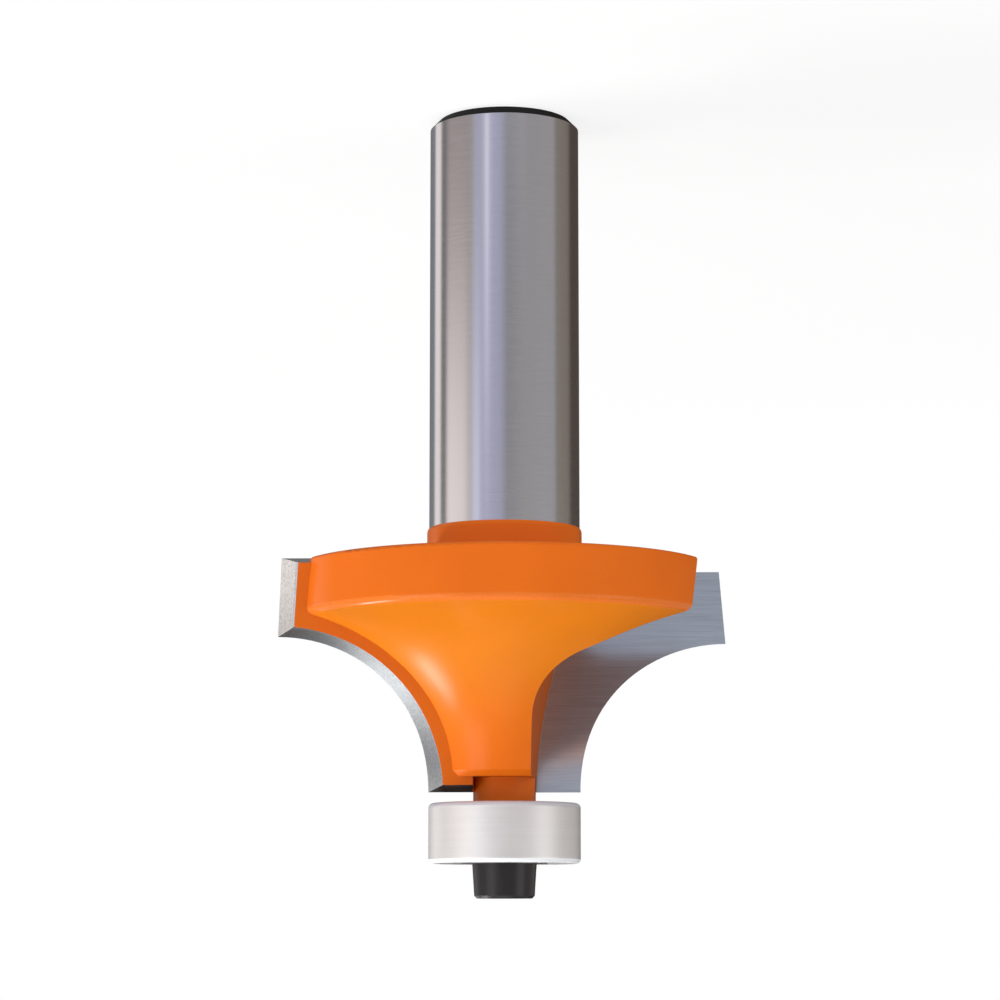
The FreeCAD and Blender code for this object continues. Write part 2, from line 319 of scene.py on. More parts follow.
class SteelSettings(bpy.types.PropertyGroup):
    """The bare steels."""

    shank_colour: FloatVectorProperty(
        name="Shank", description="Colour of the ground shank",
        default=(0.69, 0.68, 0.70), subtype="COLOR", min=0, max=1)
    # Painted shade on the shank's chamfer and end.
    end_shade_colour: FloatVectorProperty(
        name="Hardening scale", description="Colour of the unground end of the shank",
        default=(0.012, 0.011, 0.011), subtype="COLOR", min=0, max=1)
    relief_colour: FloatVectorProperty(
        name="Ground relief", description="Colour of the steel where a tooth's relief is ground on it",
        default=(0.56, 0.60, 0.66), subtype="COLOR", min=0, max=1)
    bearing_colour: FloatVectorProperty(
        name="Bearing", description="Colour of the bearing's outer ring",
        default=(0.84, 0.82, 0.81), subtype="COLOR", min=0, max=1)
    # Painted light: the corners' greys stand in for what they reflect, a painted reflection by the cutter
    # and a painted highlight by the screw.
    lower_corner_reflection_colour: FloatVectorProperty(
        name="Bearing corner at the cutter", description="Colour of the tumbled corner by the cutter",
        default=(0.60, 0.60, 0.66), subtype="COLOR", min=0, max=1)
    upper_corner_highlight_colour: FloatVectorProperty(
        name="Bearing corner at the screw", description="Colour of the tumbled corner by the screw",
        default=(0.90, 0.92, 0.94), subtype="COLOR", min=0, max=1)
    bearing_corner: FloatProperty(
        name="Bearing corner", description="Height of the outer ring's rounded corners",
        default=0.3 * MM, unit="LENGTH")
    screw_colour: FloatVectorProperty(
        name="Screw", description="Colour of the blackened screw",
        default=(0.028, 0.026, 0.026), subtype="COLOR", min=0, max=1)


class CarbideSettings(bpy.types.PropertyGroup):
    """The ground carbide of the tips."""

    face_colour: FloatVectorProperty(
        name="Rake face", description="Colour of the rake face",
        default=(0.505, 0.565, 0.62), subtype="COLOR", min=0, max=1)
    relief_colour: FloatVectorProperty(
        name="Relief", description="Colour of the relief faces",
        default=(0.56, 0.575, 0.59), subtype="COLOR", min=0, max=1)
    # A painted highlight: the side relief is lighter than the other relief faces.
    side_highlight_colour: FloatVectorProperty(
        name="Side relief", description="Colour of the straight relief along a tooth's side",
        default=(0.66, 0.64, 0.625), subtype="COLOR", min=0, max=1)
    # Painted dark reflection: the near-black end of a tooth stands in for the dark surroundings that it
    # reflects.
    end_reflection_colour: FloatVectorProperty(
        name="End face", description="Colour of the tooth's end by the bearing, left dark from brazing",
        default=(0.07, 0.075, 0.08), subtype="COLOR", min=0, max=1)


class StageSettings(bpy.types.PropertyGroup):
    """Camera, lamps and floor."""

    camera_distance: FloatProperty(
        name="Camera distance", description="From the bit's axis",
        default=0.250, unit="LENGTH")
    camera_height: FloatProperty(
        name="Camera height", description="Above the floor", default=0.0681, unit="LENGTH")
    camera_pitch: FloatProperty(
        name="Camera pitch", description="Below level", default=math.radians(8.06), subtype="ANGLE")
    camera_yaw: FloatProperty(
        name="Camera yaw", description="To the side", default=0.0015, subtype="ANGLE")
    lens: FloatProperty(name="Lens", description="Focal length in millimetres", default=107.5)
    key_power: FloatProperty(name="Key lamp", description="Power in watts", default=1.0)
    fill_power: FloatProperty(name="Fill lamp", description="Power in watts", default=1.3)
    side_power: FloatProperty(name="Side lamp", description="Power in watts", default=0.42)
    overhead_power: FloatProperty(name="Overhead lamp", description="Power in watts", default=0.3)
    room_light: FloatProperty(
        name="Room light", description="Even light from the camera's side, above the floor",
        default=0.62, min=0)
    room_light_below: FloatProperty(
        name="Room light below", description="Even light from the camera's side, below",
        default=0.95, min=0)
    room_light_behind: FloatProperty(
        name="Room light behind", description="Even light from behind the bit",
        default=0.25, min=0)
    floor_size: FloatProperty(name="Floor", description="Width of the floor", default=6, unit="LENGTH")
    shadow: FloatProperty(
        name="Shadow", description="Share of the floor's colour that shadows reach",
        default=0.16, min=0, max=1)
    shadow_reach: FloatProperty(
        name="Shadow reach", description="How far from the bit its shadow has faded out",
        default=0.2, unit="LENGTH")


SETTINGS = {
    "router_bit_tooth": ToothSettings,
    "router_bit_body": BodySettings,
    "router_bit_paint": PaintSettings,
    "router_bit_steel": SteelSettings,
    "router_bit_carbide": CarbideSettings,
    "router_bit_stage": StageSettings,
}


# The tooth's own frame


class ToothFrame:
    """Outwards along the rake face, towards the shank along it, and out of it."""

    def __init__(self, tooth):
        self.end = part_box("carbide_tip_1")[1].z
        self.shank_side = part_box("carbide_tip_1")[0].z
        self.cutting_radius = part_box("cutter_body")[1].x
        hook, shear = tooth.hook, tooth.shear
        self.outwards = Vector((-math.cos(hook), -math.sin(hook), 0))
        self.normal = Vector((
            math.sin(hook) * math.cos(shear),
            -math.cos(hook) * math.cos(shear),
            -math.sin(shear),
        ))
        self.towards_shank = self.normal.cross(self.outwards)
        self.origin = Vector((0, 0, self.end)) - self.normal * tooth.setback
        self.mill_out = tooth.gullet_depth + tooth.gullet_radius
        self.mill_along = self.level(self.end + tooth.gullet_level)

    def level(self, height):
        """How far along the face a height is."""
        return (height - self.origin.z) / self.towards_shank.z

    def point(self, out, along, up=0.0):
        return self.origin + self.outwards * out + self.towards_shank * along + self.normal * up


def nearer_tooth(x):
    """1 on the side of the first tooth and -1 on the side of the second."""
    return (x < 0) * 2 - 1


def tooth_coordinates(shader, lie):
    """Place in the frame of the nearer tooth, in millimetres: outwards, to the shank, out of the face."""
    x, y, z = shader.split(shader.millimetres())
    side = nearer_tooth(x)
    near = shader.joined(x * side, y * side, z - lie.origin.z / MM)
    flat = Vector((lie.origin.x / MM, lie.origin.y / MM, 0))
    near = shader.add("ShaderNodeVectorMath", {"operation": "SUBTRACT"}, [near, flat])
    return [shader.along(near, axis) for axis in (lie.outwards, lie.towards_shank, lie.normal)]


def along_plate(shader, lie):
    """1 on faces that lie along a tooth's plate: its rake face and its back."""
    nearly_parallel = (0.94, 0.97)
    normal = shader.add("ShaderNodeNewGeometry", None, output="True Normal")
    x, y, z = shader.split(normal)
    side = nearer_tooth(shader.split(shader.millimetres())[0])
    turned = shader.joined(x * side, y * side, z)
    return abs(shader.along(turned, lie.normal)).rises(*nearly_parallel)


def end_face(shader, lie):
    """1 on the end of a tooth, by the bearing."""
    nearly_level = (0.86, 0.95)
    depth = 1.5
    normal = shader.add("ShaderNodeNewGeometry", None, output="True Normal")
    height = shader.split(shader.millimetres())[2]
    faces_up = shader.split(normal)[2].rises(*nearly_level)
    return faces_up * (height > lie.end / MM - depth)


def ground_grain(shader):
    """Coarse grain of a ground relief, around 1."""
    return 0.82 + shader.noise(shader.millimetres(), 4.5, 3.0, 0.7).rises(0.3, 0.7) * 0.36


def gullet_mask(tooth, lie, out, along, up):
    """1 in the gullet that a disc mill leaves, with its sloping floor and its rounded far corner."""
    from_mill = length(out - lie.mill_out / MM, along - lie.mill_along / MM)
    lean = math.tan(tooth.gullet_slope)
    milled = from_mill < up * lean + (tooth.gullet_radius / MM + SKIN)
    round_up = (tooth.gullet_width - tooth.gullet_round) / MM
    into_corner = from_mill - (tooth.gullet_radius - tooth.gullet_round) / MM - round_up * lean
    over_corner = up - round_up
    past_round = length(into_corner, over_corner) > tooth.gullet_round / MM + SKIN
    left_standing = (into_corner > 0) * (over_corner > 0) * past_round
    return milled * (up > -SKIN) * (up < tooth.gullet_width / MM + SKIN) * (1 - left_standing)


class BodyMasks:
    """Where the finishes of the cutter's body lie, each as a number from 0 to 1 in the shader."""

    def __init__(self, shader, scene, lie):
        body, tooth = scene.router_bit_body, scene.router_bit_tooth
        place = shader.millimetres()
        x, y, z = shader.split(place)
        radius = length(x, y)
        out, along, up = tooth_coordinates(shader, lie)
        flat = along_plate(shader, lie)

        self.shank = (z < body.shank_length / MM) * (radius < body.shank_radius / MM + SKIN)
        ragged = (shader.noise(place, 1.2, 3.0) - 0.5) * 0.08
        # Painted shade: a near-black band on the shank's chamfer and end, which face away from the light.
        # It is also rougher and less metallic.
        self.scale = (z + ragged < body.end_shade_height / MM) * self.shank

        slab = (up > SKIN - tooth.plate / MM) * (up < SKIN) * (1 - flat)
        from_arc = length(radius - lie.cutting_radius / MM, z - lie.end / MM)
        reach = (tooth.round_over + tooth.relief_width) / MM + SKIN
        outside_rim = radius > body.rim_radius / MM + SKIN
        outside_neck = radius > body.neck_radius / MM + SKIN
        past_rim = z > body.cone_start / MM
        under_arc = (from_arc < reach) * outside_neck * past_rim
        self.relief = slab * (1 - (1 - outside_rim) * (1 - under_arc))

        self.plate_back = flat * (abs(up + tooth.plate / MM) < SKIN)
        self.gullet = gullet_mask(tooth, lie, out, along, up)
        turned = (1 - self.plate_back) * (1 - self.gullet)

        # Painted light: the coat turns yellower out towards the rim, where the cone faces the lamps.
        painted_light_from, painted_light_full = 4.5, 10.5
        cone = past_rim * outside_neck * turned
        self.cone_painted_light = cone * radius.rises(painted_light_from, painted_light_full)

        edge_width, edge_blur = 0.5, 0.04
        on_edge = z.between(body.edge_start / MM, body.cone_start / MM, edge_blur)
        self.rim_edge = on_edge * (radius > body.rim_radius / MM - edge_width) * turned


# Finishes


def coat_colour(shader, paint, masks, mottle, speckle):
    """Orange coat with painted light: yellower on the cone where it is lit, a painted highlight on the
    rim's edge, and painted shade in gullets and behind teeth.
    """
    coat = shader.blend(masks.cone_painted_light, paint.colour, paint.lit_cone_colour)
    # Painted highlight on the rim's edge, paler in speckled spots.
    edge_highlight = masks.rim_edge * (0.08 + speckle.rises(0.42, 0.66) * 0.1)
    coat = shader.blend(edge_highlight, coat, paint.edge_highlight_colour)
    # Painted shade: the coat is darkened in the gullets and on the teeth's backs, where less light falls.
    light = (1 - masks.gullet * 0.42) * (1 - masks.plate_back * 0.18)
    return shader.tinted(coat, (0.9 + mottle * 0.13 + speckle * 0.07) * light)


def bare_steel_colour(shader, scene, lie, masks, streaks, grain):
    """Ground steel, with the teeth's reliefs and their ends darkened as a painted dark reflection, and
    painted shade on the shank's end.
    """
    steel = scene.router_bit_steel
    bare = shader.tinted(steel.shank_colour, 0.9 + streaks * 0.12 + grain * 0.08)
    ground = shader.tinted(steel.relief_colour, ground_grain(shader))
    bare = shader.blend(masks.relief, bare, ground)
    # Painted dark reflection on the ends of the reliefs.
    dark_end = masks.relief * end_face(shader, lie)
    bare = shader.blend(dark_end, bare, scene.router_bit_carbide.end_reflection_colour)
    return shader.blend(masks.scale, bare, steel.end_shade_colour)


def cutter_body_material(context):
    """Baked coat over the cutter, bare ground steel on the shank and the relief, and painted shade on the
    shank's end.
    """
    scene = context.scene
    paint = scene.router_bit_paint
    lie = ToothFrame(scene.router_bit_tooth)
    material, shader = new_material("Coated cutter steel")
    masks = BodyMasks(shader, scene, lie)
    place = shader.millimetres()
    mottle = shader.noise(place, 0.22, 3.0)
    speckle = shader.noise(place, 7.0, 2.0, 0.6)
    peel = shader.noise(place, 2.6, 2.0)
    streaks = shader.noise(shader.stretched(place, (0.5, 0.5, 11.0)), 1.0, 3.0, 0.6)
    grain = shader.noise(place, 5.5, 3.0, 0.65)

    coat = coat_colour(shader, paint, masks, mottle, speckle)
    bare = bare_steel_colour(shader, scene, lie, masks, streaks, grain)
    metal = 1 - (1 - masks.shank) * (1 - masks.relief)
    colour = shader.blend(metal, coat, bare)
    metallic = metal * (1 - masks.scale * 0.7)
    steel_roughness = 0.1 + streaks * 0.08 + grain * 0.06 + masks.scale * 0.25 + masks.relief * 0.19
    coat_roughness = paint.roughness + (speckle - 0.5) * 0.08 - masks.rim_edge * 0.1 + masks.gullet * 0.3
    roughness = coat_roughness * (1 - metal) + steel_roughness * metal
    height = (1 - metal) * (peel * 0.6 + speckle * 0.15) + metal * (grain * 0.09 + streaks * 0.05)
    normal = shader.bump(height, 0.25, 0.02 * MM)
    shader.surface(
        Base_Color=colour, Metallic=metallic, Roughness=roughness, Normal=normal,
        Specular_IOR_Level=paint.specular)
    return material


def carbide_material(context):
    """Ground carbide: a cross-ground rake face, and grained relief faces."""
    scene = context.scene
    carbide, tooth = scene.router_bit_carbide, scene.router_bit_tooth
    lie = ToothFrame(tooth)
    material, shader = new_material("Ground carbide")
    place = shader.millimetres()
    x, y, z = shader.split(place)
    out, along, up = tooth_coordinates(shader, lie)
    on_face = along_plate(shader, lie)
    lines = shader.noise(shader.joined(out * 0.2, along * 5.5, up * 3.0), 1.0, 4.0, 0.7)
    broad = shader.noise(shader.joined(out * 0.05, along * 1.1, up), 1.0, 2.0)
    grain = shader.noise(place, 6.0, 3.0, 0.7)
    face = shader.tinted(carbide.face_colour, 0.58 + lines * 0.6 + broad * 0.24)

    # Painted highlight and shade: the side relief gets a lighter grey, and side_light darkens it towards
    # the arc.
    short_of_arc, shaded_length = 0.05, 4.5
    side_end = (lie.end - tooth.round_over) / MM - short_of_arc
    on_side = (length(x, y) > (lie.cutting_radius - tooth.relief_width) / MM) * (z < side_end)
    side_light = 1.1 - z.rises(side_end - shaded_length, side_end) * 0.25
    side = shader.tinted(carbide.side_highlight_colour, side_light)
    relief = shader.tinted(shader.blend(on_side, carbide.relief_colour, side), ground_grain(shader))

    colour = shader.blend(on_face, relief, face)
    # Painted dark reflection on the tooth's end.
    colour = shader.blend(end_face(shader, lie), colour, carbide.end_reflection_colour)
    metallic = 1 - on_face * 0.32
    roughness = 0.28 + on_face * (lines * 0.08 - 0.15) + (1 - on_face) * grain * 0.12
    height = on_face * lines * 0.12 + (1 - on_face) * grain * 0.5
    normal = shader.bump(height, 0.3, 0.02 * MM)
    shader.surface(Base_Color=colour, Metallic=metallic, Roughness=roughness, Normal=normal)
    return material


def turned_steel_material(name, colour, roughness, metallic, line_scale, line_strength, corners=()):
    """Steel with fine turning or grinding lines round its axis.

    Each corner is a non-metal band of painted light: its lowest and highest height, its inner radius and
    its grey.
    """
    material, shader = new_material(name)
    place = shader.millimetres()
    x, y, z = shader.split(place)
    radius = length(x, y)
    rounds = shader.joined(radius * line_scale, x * 0.12 + y * 0.05, z * line_scale)
    lines = shader.noise(rounds, 1.0, 3.0, 0.65)
    cloud = shader.noise(place, 0.5, 2.0)
    grain = shader.noise(place, 9.0, 2.0, 0.6)
    blur = 0.08
    for low, high, inside, corner_colour in corners:
        outer = radius.rises(inside / MM - blur, inside / MM)
        corner = z.between(low / MM, high / MM, blur) * outer
        colour = shader.blend(corner, colour, corner_colour)
        metallic = metallic * (1 - corner)
    base = shader.tinted(colour, 0.9 + lines * line_strength + cloud * 0.06 + grain * 0.04)
    shine = roughness + (lines - 0.5) * 0.12 + (cloud - 0.5) * 0.08
    normal = shader.bump(lines * 0.5 + grain * 0.1, 0.2, 0.02 * MM)
    shader.surface(Base_Color=base, Metallic=metallic, Roughness=shine, Normal=normal)
    return material


def screw_material(context):
    """Blackened steel with faint rubbed bands up the head."""
    steel = context.scene.router_bit_steel
    material, shader = new_material("Blackened screw steel")
    place = shader.millimetres()
    cloud = shader.noise(shader.stretched(place, (1.0, 1.0, 0.25)), 1.3, 3.0)
    grain = shader.noise(place, 8.0, 2.0, 0.6)
    base = shader.tinted(steel.screw_colour, 0.7 + cloud * 0.5 + grain * 0.15)
    roughness = 0.34 + (cloud - 0.5) * 0.15
    normal = shader.bump(grain, 0.2, 0.015 * MM)
    shader.surface(Base_Color=base, Metallic=0.6, Roughness=roughness, Normal=normal)
    return material


def braze_material():
    """Silver brazing alloy, slightly dulled."""
    material, shader = new_material("Brazing alloy")
    place = shader.millimetres()
    cloud = shader.noise(place, 1.5, 3.0)
    base = shader.blend(cloud, (0.24, 0.28, 0.31), (0.42, 0.46, 0.50))
    normal = shader.bump(cloud, 0.4, 0.03 * MM)
    shader.surface(Base_Color=base, Metallic=1.0, Roughness=0.32 + cloud * 0.15, Normal=normal)
    return material


# Operators


class ROUTERBIT_OT_cutter_body(bpy.types.Operator):
    """Coat the cutter's body and leave its ground faces bare"""

    bl_idname = "router_bit.cutter_body"
    bl_label = "Cutter Body"

    def execute(self, context):
        finish_node("cutter_body", cutter_body_material(context))
        return {"FINISHED"}


class ROUTERBIT_OT_carbide_tips(bpy.types.Operator):
    """Give the carbide tips their ground faces"""

    bl_idname = "router_bit.carbide_tips"
    bl_label = "Carbide Tips"

    def execute(self, context):
        material = carbide_material(context)
        for node in CARBIDE_TIPS:
            finish_node(node, material)
        return {"FINISHED"}


class ROUTERBIT_OT_brazing_beads(bpy.types.Operator):
    """Run a bead of brazing alloy between each tip and its gullet's wall"""

    bl_idname = "router_bit.brazing_beads"
    bl_label = "Brazing Beads"

    steps: IntProperty(name="Steps", description="Divisions along a bead", default=48)

    def execute(self, context):
        tooth = context.scene.router_bit_tooth
        lie = ToothFrame(tooth)
        material = braze_material()
        for index in range(len(CARBIDE_TIPS)):
            bead = brazing_bead("brazing_bead_%d" % (index + 1), tooth, lie, index, self.steps)
            bead.data.materials.append(material)
            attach(bead, "cutter")
        return {"FINISHED"}


def brazing_bead(name, tooth, lie, index, steps):
    """A concave fillet swept about the gullet cutter's centre, along the tip's inner edge."""
    radius = tooth.gullet_radius
    centre = lie.point(lie.mill_out, lie.mill_along)
    start = math.asin((lie.level(lie.end) - lie.mill_along) / radius)
    finish = math.asin((lie.level(lie.shank_side) - lie.mill_along) / radius)
    inward = lie.outwards * -math.cos(start) + lie.towards_shank * math.sin(start)
    corner = centre + inward * radius
    leg = tooth.bead
    sunk = 0.01 * MM
    far_share, near_share = 0.42, 0.14
    profile = [
        corner + inward * sunk - lie.normal * sunk,
        corner - inward * leg - lie.normal * sunk,
        corner - inward * leg,
        corner - inward * leg * far_share + lie.normal * leg * near_share,
        corner - inward * leg * near_share + lie.normal * leg * far_share,
        corner + lie.normal * leg,
        corner + inward * sunk + lie.normal * leg,
    ]
    mesh = bmesh.new()
    face = mesh.faces.new([mesh.verts.new(point) for point in profile])
    geometry = [face] + list(face.edges) + list(face.verts)
    bmesh.ops.spin(
        mesh, geom=geometry, cent=centre, axis=lie.normal, dvec=(0, 0, 0),
        angle=start - finish, steps=steps, use_duplicate=False)
    if index:
        turn = Matrix.Rotation(math.pi * 2 * index / len(CARBIDE_TIPS), 4, "Z")
        bmesh.ops.transform(mesh, matrix=turn, verts=mesh.verts)
    bmesh.ops.recalc_face_normals(mesh, faces=mesh.faces)
    data = bpy.data.meshes.new(name)
    mesh.to_mesh(data)
    mesh.free()
    bead = bpy.data.objects.new(name, data)
    bpy.context.scene.collection.objects.link(bead)
    return bead


class ROUTERBIT_OT_bearing_rings(bpy.types.Operator):
    """Grind the bearing's two rings"""

    bl_idname = "router_bit.bearing_rings"
    bl_label = "Bearing Rings"

    def execute(self, context):
        steel = context.scene.router_bit_steel
        start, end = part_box("bearing_outer_ring")
        height = steel.bearing_corner
        inside = end.x - height
        # The two corners are painted light: a painted reflection by the cutter, a painted highlight by
        # the screw.
        corners = [
            (start.z, start.z + height, inside, steel.lower_corner_reflection_colour),
            (end.z - height, end.z, inside, steel.upper_corner_highlight_colour),
        ]
        outer = turned_steel_material(
            "Ground outer ring", steel.bearing_colour, roughness=0.43, metallic=0.75,
            line_scale=7.0, line_strength=0.1, corners=corners)
        # The inner ring's dark grey is painted shade, for the shade in its recess.
        inner = turned_steel_material(
            "Ground inner ring", (0.32, 0.31, 0.31), roughness=0.3, metallic=1.0,
            line_scale=7.0, line_strength=0.12)
        finish_node("bearing_outer_ring", outer)
        finish_node("bearing_inner_ring", inner)
        return {"FINISHED"}


class ROUTERBIT_OT_bearing_inside(bpy.types.Operator):
    """Finish the bearing's balls, cage, shields and snap rings"""

    bl_idname = "router_bit.bearing_inside"
    bl_label = "Bearing Inside"

    def execute(self, context):
        polished = turned_steel_material(
            "Polished ball steel", (0.8, 0.8, 0.82), roughness=0.1, metallic=1.0,
            line_scale=0.6, line_strength=0.03)
        pressed = turned_steel_material(
            "Pressed cage strip", (0.55, 0.53, 0.5), roughness=0.35, metallic=1.0,
            line_scale=3.0, line_strength=0.1)
        shield = turned_steel_material(
            "Pressed shield", (0.5, 0.5, 0.51), roughness=0.36, metallic=1.0,
            line_scale=6.0, line_strength=0.16)
        spring = turned_steel_material(
            "Spring wire", (0.2, 0.2, 0.21), roughness=0.3, metallic=1.0,
            line_scale=4.0, line_strength=0.1)
        for node in BALLS:
            finish_node(node, polished)
        for side in ("lower", "upper"):
            finish_node("ball_cage_" + side, pressed)
            finish_node("bearing_shield_" + side, shield)
            finish_node("shield_snap_ring_" + side, spring)
        return {"FINISHED"}


class ROUTERBIT_OT_retaining_screw(bpy.types.Operator):
    """Blacken the retaining screw"""

    bl_idname = "router_bit.retaining_screw"
    bl_label = "Retaining Screw"

    def execute(self, context):
        finish_node("retaining_screw", screw_material(context))
        return {"FINISHED"}


class ROUTERBIT_OT_stage(bpy.types.Operator):
    """Set up the floor, the lamps, the room's light and the camera"""

    bl_idname = "router_bit.stage"
    bl_label = "Stage"

    def execute(self, context):
        stage = context.scene.router_bit_stage
        context.scene.view_settings.view_transform = "Standard"
        add_floor(context, stage)
        add_lamps(context, stage)
        light_room(context, stage)
        add_camera(context, stage)
        return {"FINISHED"}


def add_floor(context, stage):
    """A plain white floor that keeps a faint shadow."""
    mesh = bmesh.new()
    bmesh.ops.create_grid(mesh, x_segments=1, y_segments=1, size=stage.floor_size / 2)
    data = bpy.data.meshes.new("floor")
    mesh.to_mesh(data)
    mesh.free()
    floor = bpy.data.objects.new("floor", data)
    context.scene.collection.objects.link(floor)
    material, shader = new_material("White floor")
    seen = shader.add("ShaderNodeLightPath", None, output="Is Camera Ray")
    x, y, _ = shader.split(shader.millimetres())
    reach = stage.shadow_reach / MM
    full_until = reach / 4
    faded = length(x, y).rises(full_until, reach)
    matt = shader.add("ShaderNodeBsdfDiffuse", None, {"Color": as_colour(0.9)})
    glow = shader.add("ShaderNodeEmission", None, {"Color": as_colour(1.0)})
    bright = seen * (1 - stage.shadow * (1 - faded))
    mixed = shader.add("ShaderNodeMixShader", None, [bright, matt, glow])
    shader.add("ShaderNodeOutputMaterial", None, {"Surface": mixed})
    data.materials.append(material)
    floor.visible_glossy = False
    floor.visible_diffuse = False


# Softboxes: azimuth and elevation in degrees, with azimuth 0 at the camera's side, distance, width
# and height in metres, the setting with the power, and colour. The key lamp is wide and flat, and
# the cone shows it as a slanting streak.
SOFTBOXES = {
    "key_softbox": (107, 48, 0.42, 0.19, 0.055, "key_power", (1.0, 0.97, 0.95)),
    "fill_softbox": (52, 28, 0.6, 0.35, 0.35, "fill_power", (1.0, 1.0, 1.0)),
    "overhead_softbox": (8, 66, 0.5, 0.3, 0.3, "overhead_power", (1.0, 1.0, 1.0)),
    "side_softbox": (-62, 16, 0.6, 0.3, 0.3, "side_power", (1.0, 1.0, 1.0)),
}

# What the lamps are aimed at, in metres: a point inside the cutter
LAMP_TARGET = (0, 0, 0.045)


def add_lamp(context, name, azimuth, elevation, distance, width, height, power, colour):
    """A softbox that faces the cutter."""
    target = Vector(LAMP_TARGET)
    direction = Vector((
        math.sin(azimuth) * math.cos(elevation),
        -math.cos(azimuth) * math.cos(elevation),
        math.sin(elevation),
    ))
    data = bpy.data.lights.new(name, "AREA")
    data.shape = "RECTANGLE"
    data.size = width
    data.size_y = height
    data.energy = power
    data.color = colour
    lamp = bpy.data.objects.new(name, data)
    lamp.location = target + direction * distance
    lamp.rotation_mode = "QUATERNION"
    lamp.rotation_quaternion = direction.to_track_quat("Z", "Y")
    context.scene.collection.objects.link(lamp)


def add_lamps(context, stage):
    """A key lamp at one side, a little behind, a fill and an overhead lamp, and a faint side lamp."""
    for name, (azimuth, elevation, distance, width, height, power, colour) in SOFTBOXES.items():
        add_lamp(
            context, name, math.radians(azimuth), math.radians(elevation), distance, width, height,
            getattr(stage, power), colour)


# What polished metal sees round the bit: azimuth in degrees, the colour well below the horizon,
# and the colour nearer to it. The shank shows both as stripes that change along its length.
ROOM_STRIPS = [
    (-180, (0.20, 0.20, 0.21), (0.20, 0.20, 0.21)),
    (-165, (0.09, 0.07, 0.06), (0.09, 0.07, 0.06)),
    (-125, (0.09, 0.07, 0.06), (0.09, 0.07, 0.06)),
    (-115, (0.24, 0.21, 0.18), (0.24, 0.21, 0.18)),
    (-88, (0.27, 0.24, 0.21), (0.27, 0.24, 0.21)),
    (-82, (0.40, 0.39, 0.40), (0.40, 0.39, 0.40)),
    (-30, (0.38, 0.37, 0.37), (0.38, 0.37, 0.37)),
    (-4, (0.30, 0.30, 0.31), (0.30, 0.30, 0.31)),
    (6, (0.46, 0.46, 0.60), (0.46, 0.46, 0.60)),
    (18, (0.50, 0.50, 0.66), (0.48, 0.48, 0.63)),
    (23, (0.66, 0.66, 0.82), (0.49, 0.49, 0.65)),
    (27, (1.20, 1.20, 1.34), (0.50, 0.50, 0.66)),
    (31, (0.66, 0.66, 0.80), (0.51, 0.51, 0.68)),
    (36, (0.48, 0.47, 0.58), (0.53, 0.53, 0.72)),
    (40, (0.46, 0.46, 0.60), (0.85, 0.88, 1.10)),
    (47, (0.45, 0.44, 0.52), (0.85, 0.86, 1.00)),
    (53, (0.38, 0.34, 0.33), (0.66, 0.60, 0.58)),
    (66, (0.35, 0.31, 0.30), (1.08, 0.98, 0.95)),
    (96, (0.38, 0.33, 0.32), (1.15, 1.04, 1.00)),
    (104, (0.20, 0.19, 0.19), (0.20, 0.19, 0.19)),
    (113, (0.20, 0.19, 0.19), (0.20, 0.19, 0.19)),
    (118, (1.0, 0.93, 0.90), (1.0, 0.93, 0.90)),
    (132, (1.0, 0.93, 0.90), (1.0, 0.93, 0.90)),
    (138, (0.22, 0.24, 0.26), (0.22, 0.24, 0.26)),
    (180, (0.20, 0.20, 0.21), (0.20, 0.20, 0.21)),
]


# Patches over the strips: azimuth from and to, elevation from and to, in degrees, and colour. In
# order: the pale walls that the bearing shows, the dark wall behind, in two halves, that the ends
# of the teeth show, a light panel below for the rake face, a bright one for the side relief, and
# a dim and a bright one for the two halves of the arc's relief.
ROOM_PATCHES = [
    (-140, 140, -2.5, 62, (0.66, 0.635, 0.625)),
    (146, 200, 24, 66, (0.05, 0.05, 0.05)),
    (-200, -146, 24, 66, (0.05, 0.05, 0.05)),
    (-30, 35, -33, -19, (0.62, 0.64, 0.72)),
    (115, 132, -4, 0.5, (1.6, 1.54, 1.5)),
    (104, 138, 6, 14, (0.24, 0.24, 0.25)),
    (142, 158, 16, 27, (1.45, 1.49, 1.53)),
]
PATCH_BLUR_ACROSS = 6
PATCH_BLUR_UP = 2

# Colours straight above and straight below, and the degrees over which the room fades into them
CEILING = (1.05, 1.08, 1.12)
CEILING_FADE = (66, 78)
GROUND = (0.36, 0.36, 0.37)
GROUND_FADE = (42, 62)

# Elevations in degrees over which the strips' first colours change to their second
STRIP_FADE = (-14.6, -8)

# Upwards and backwards parts of a direction over which the even light on matt surfaces changes
EVEN_LIGHT_UP_FADE = (-0.4, 0.4)
EVEN_LIGHT_BACK_FADE = (-0.5, 0.7)


def room_strips(shader, azimuth, row):
    """One row of the strips, as a ramp over the azimuth."""
    stops = [((strip[0] + 180) / 360, strip[row]) for strip in ROOM_STRIPS]
    return shader.add("ShaderNodeValToRGB", {"stops": stops}, [azimuth])


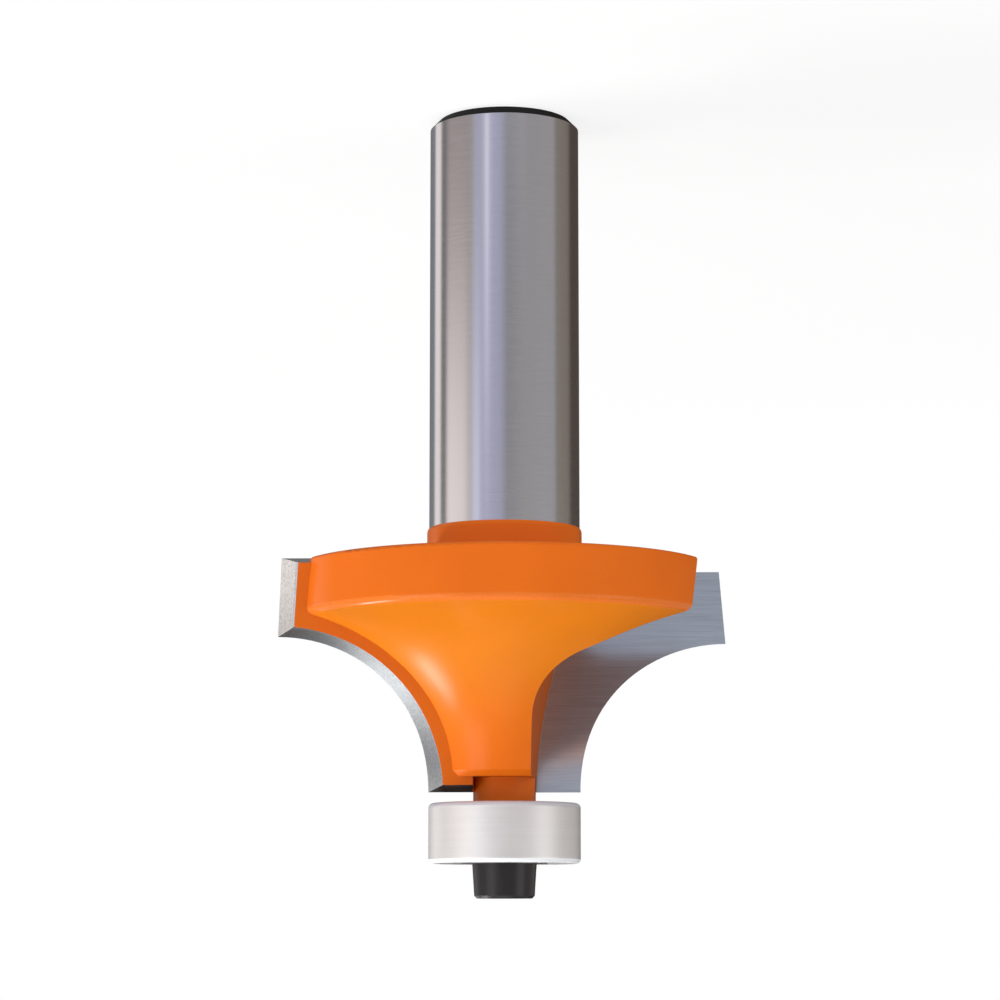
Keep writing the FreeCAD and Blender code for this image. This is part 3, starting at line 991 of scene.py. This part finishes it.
def light_room(context, stage):
    """White to the camera, nearly even to matt surfaces, and strips of light and dark to metal."""
    world = bpy.data.worlds.new("Studio")
    world.use_nodes = True
    context.scene.world = world
    shader = Shader(world.node_tree)
    direction = shader.add("ShaderNodeTexCoord", None, output="Generated")
    x, y, z = shader.split(direction)
    azimuth = x.maths("ARCTAN2", -y) / (2 * math.pi) + 0.5
    elevation = z.maths("ARCSINE") * (180 / math.pi)
    low, high = (room_strips(shader, azimuth, row) for row in (1, 2))
    room = shader.blend(elevation.rises(*STRIP_FADE), low, high)
    degrees = azimuth * 360 - 180
    for left, right, bottom, top, colour in ROOM_PATCHES:
        across = degrees.between(left, right, PATCH_BLUR_ACROSS)
        room = shader.blend(across * elevation.between(bottom, top, PATCH_BLUR_UP), room, colour)
    room = shader.blend(elevation.rises(*CEILING_FADE), room, CEILING)
    room = shader.blend((-elevation).rises(*GROUND_FADE), room, GROUND)
    glossy, camera, transmission = (
        shader.add("ShaderNodeLightPath", None, output=name)
        for name in ("Is Glossy Ray", "Is Camera Ray", "Is Transmission Ray")
    )
    matt = shader.blend(z.rises(*EVEN_LIGHT_UP_FADE), stage.room_light_below, stage.room_light)
    matt = shader.blend(y.rises(*EVEN_LIGHT_BACK_FADE), matt, stage.room_light_behind)
    light = shader.blend(glossy, matt, room)
    light = shader.blend(camera.maths("MAXIMUM", transmission), light, 1.0)
    background = shader.add("ShaderNodeBackground", None, [light])
    shader.add("ShaderNodeOutputWorld", None, {"Surface": background})


def add_camera(context, stage):
    """The photograph's view. The bit hangs cutter down in it, so the camera is rolled half a turn."""
    data = bpy.data.cameras.new("camera")
    data.lens = stage.lens
    data.sensor_width = 36
    data.clip_start = 0.01
    data.clip_end = 20
    camera = bpy.data.objects.new("camera", data)
    camera.location = (0, -stage.camera_distance, stage.camera_height)
    pitch = Matrix.Rotation(math.pi / 2 - stage.camera_pitch, 4, "X")
    yaw = Matrix.Rotation(-stage.camera_yaw, 4, "Z")
    roll = Matrix.Rotation(math.pi, 4, "Z")
    camera.matrix_world = Matrix.Translation(camera.location) @ yaw @ pitch @ roll
    context.scene.collection.objects.link(camera)
    context.scene.camera = camera


OPERATORS = [
    ROUTERBIT_OT_cutter_body,
    ROUTERBIT_OT_carbide_tips,
    ROUTERBIT_OT_brazing_beads,
    ROUTERBIT_OT_bearing_rings,
    ROUTERBIT_OT_bearing_inside,
    ROUTERBIT_OT_retaining_screw,
    ROUTERBIT_OT_stage,
]


class VIEW3D_PT_router_bit(bpy.types.Panel):
    """Buttons and settings for the router bit"""

    bl_label = "Router Bit"
    bl_space_type = "VIEW_3D"
    bl_region_type = "UI"
    bl_category = "Router Bit"

    def draw(self, context):
        for operator in OPERATORS:
            self.layout.operator(operator.bl_idname)
        for name, group in SETTINGS.items():
            box = self.layout.box()
            box.label(text=group.__doc__)
            for key in group.__annotations__:
                box.prop(getattr(context.scene, name), key)


def register():
    for group in SETTINGS.values():
        bpy.utils.register_class(group)
    for name, group in SETTINGS.items():
        setattr(bpy.types.Scene, name, PointerProperty(type=group))
    for operator in OPERATORS:
        bpy.utils.register_class(operator)
    bpy.utils.register_class(VIEW3D_PT_router_bit)


def unregister():
    bpy.utils.unregister_class(VIEW3D_PT_router_bit)
    for operator in reversed(OPERATORS):
        bpy.utils.unregister_class(operator)
    for name in SETTINGS:
        delattr(bpy.types.Scene, name)
    for group in reversed(SETTINGS.values()):
        bpy.utils.unregister_class(group)


def main():
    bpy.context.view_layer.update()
    register()
    for operator in OPERATORS:
        group, action = operator.bl_idname.split(".")
        getattr(getattr(bpy.ops, group), action)()


if __name__ == "__main__":
    main()
